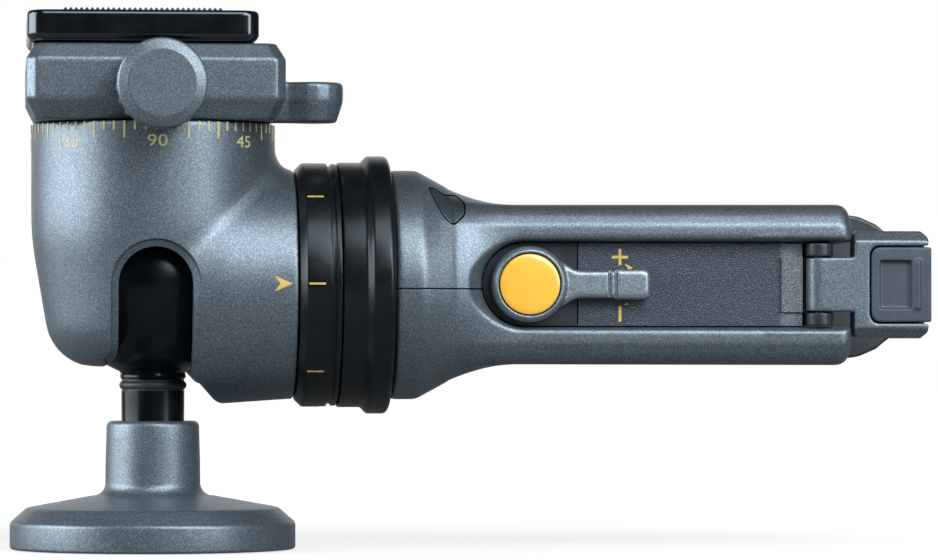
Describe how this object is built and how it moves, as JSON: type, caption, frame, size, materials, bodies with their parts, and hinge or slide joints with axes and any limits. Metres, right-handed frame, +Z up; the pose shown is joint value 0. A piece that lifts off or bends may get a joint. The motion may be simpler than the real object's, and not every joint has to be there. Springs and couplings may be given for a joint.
{
  "type": "squeeze grip ball head",
  "caption": "Tripod ball head with a round base, a ball on a stem, a horizontal squeeze grip that frees the ball, a friction dial and a quick release clamp on a turning platform.",
  "frame": {"origin": "centre of the base's underside, on the axis of the tripod thread and of the ball's stem", "axes": "+X from the stem's axis along the grip, +Z up along the stem to the camera plate, and -Y is the front that the picture shows, with the notch, the friction dial and the clamp knob"},
  "size_m": [0.2008, 0.071, 0.1158],
  "materials": {
    "body_cast": "satin",
    "grip_paint": "satin",
    "satin_black": "satin",
    "ball_black": "gloss",
    "plate_black": "satin",
    "black_plastic": "satin",
    "black_rubber": "matte",
    "panel_grain": "matte",
    "pad_rubber": "matte",
    "signal_yellow": "gloss",
    "steel": "satin",
    "brass": "satin",
    "white_plastic": "satin",
    "level_green": "gloss"
  },
  "bodies": {
    "base": {"base_plate": "body_cast", "tripod_bush": "steel", "base_bolt": "steel", "ball_and_stem": "ball_black"},
    "swivel": {"stem_ring": "black_rubber"},
    "tilt_seat": {"ball_seat_liner": "white_plastic"},
    "head": {"head_housing": "body_cast", "pan_click_ring": "steel", "pan_bolt": "steel", "handle_spindle": "steel", "spindle_nut": "steel", "clamp_spring": "steel"},
    "brake": {"brake_shoe": "brass", "brake_rod": "steel"},
    "grip": {"index_ring": "satin_black", "grip_neck": "satin_black", "upper_shell": "grip_paint", "lower_shell": "grip_paint", "shell_screw_1": "steel", "shell_screw_2": "steel", "pivot_cover": "grip_paint", "dial_plate": "black_plastic", "grip_panel": "panel_grain", "trigger_pin": "steel", "hinge_block": "black_plastic", "hinge_pin": "steel"},
    "collar": {"lock_collar": "satin_black"},
    "trigger": {"trigger_lever": "black_plastic", "trigger_rubber": "black_rubber"},
    "dial": {"friction_dial": "grip_paint", "dial_disc": "signal_yellow"},
    "arm": {"release_arm": "grip_paint"},
    "release": {"release_pad": "pad_rubber"},
    "clamp": {"clamp_body": "body_cast", "level_vial": "level_green"},
    "jaw": {"front_jaw": "body_cast", "jaw_guide_pin_1": "steel", "jaw_guide_pin_2": "steel"},
    "knob": {"clamp_knob": "body_cast"},
    "plate": {"quick_release_plate": "plate_black", "plate_pad": "black_rubber", "stop_screw_1": "steel", "stop_screw_2": "steel"},
    "screw": {"camera_screw": "steel"}
  },
  "joints": [
    {"name": "base_swivel", "type": "hinge", "parent": "base", "child": "swivel", "pos_m": [0, 0, 0.057], "axis": [0, 0, 1], "continuous": true},
    {"name": "front_tilt", "type": "hinge", "parent": "swivel", "child": "tilt_seat", "pos_m": [0, 0, 0.057], "axis": [1, 0, 0], "range_deg": [-18, 90]},
    {"name": "side_lean", "type": "hinge", "parent": "tilt_seat", "child": "head", "pos_m": [0, 0, 0.057], "axis": [0, 1, 0], "range_deg": [-20, 14]},
    {"name": "brake_slide", "type": "slide", "parent": "head", "child": "brake", "axis": [1, 0, 0], "range_m": [0, 0.0005], "deforming": ["clamp_spring"]},
    {"name": "grip_turn", "type": "hinge", "parent": "head", "child": "grip", "pos_m": [0.0305, 0, 0.057], "axis": [1, 0, 0], "continuous": true},
    {"name": "collar_slide", "type": "slide", "parent": "grip", "child": "collar", "axis": [1, 0, 0], "range_m": [0, 0.003]},
    {"name": "trigger_squeeze", "type": "hinge", "parent": "grip", "child": "trigger", "pos_m": [0.068, -0.004, 0.057], "axis": [0, 0, -1], "range_deg": [0, 7], "stiffness_Nm_per_rad": 2, "springref_deg": -8.59},
    {"name": "dial_turn", "type": "hinge", "parent": "grip", "child": "dial", "pos_m": [0.0801, -0.0135, 0.057], "axis": [0, 1, 0], "range_deg": [-12, 12]},
    {"name": "arm_swing", "type": "hinge", "parent": "grip", "child": "arm", "pos_m": [0.1432, -0.0144, 0.057], "axis": [0, 0, -1], "range_deg": [0, 90]},
    {"name": "release_press", "type": "slide", "parent": "arm", "child": "release", "axis": [0, 1, 0], "range_m": [0, 0.0012], "stiffness_N_per_m": 400, "springref_m": -0.001},
    {"name": "pan_turn", "type": "hinge", "parent": "head", "child": "clamp", "pos_m": [0, 0, 0.0918], "axis": [0, 0, 1], "continuous": true},
    {"name": "jaw_slide", "type": "slide", "parent": "clamp", "child": "jaw", "axis": [0, -1, 0], "range_m": [0, 0.003]},
    {"name": "knob_turn", "type": "hinge", "parent": "jaw", "child": "knob", "pos_m": [0.0008, -0.04, 0.0988], "axis": [0, -1, 0], "range_deg": [0, 864]},
    {"name": "plate_slide", "type": "slide", "parent": "clamp", "child": "plate", "axis": [1, 0, 0], "range_m": [-0.009, 0.009]},
    {"name": "screw_turn", "type": "hinge", "parent": "plate", "child": "screw", "pos_m": [-0.0027, 0, 0.115], "axis": [0, 0, 1], "continuous": true}
  ],
  "couplings": [
    {"joint": "brake_slide", "follows": "trigger_squeeze", "m_per_rad": 0.004},
    {"joint": "jaw_slide", "follows": "knob_turn", "m_per_rad": 0.00019894}
  ]
}
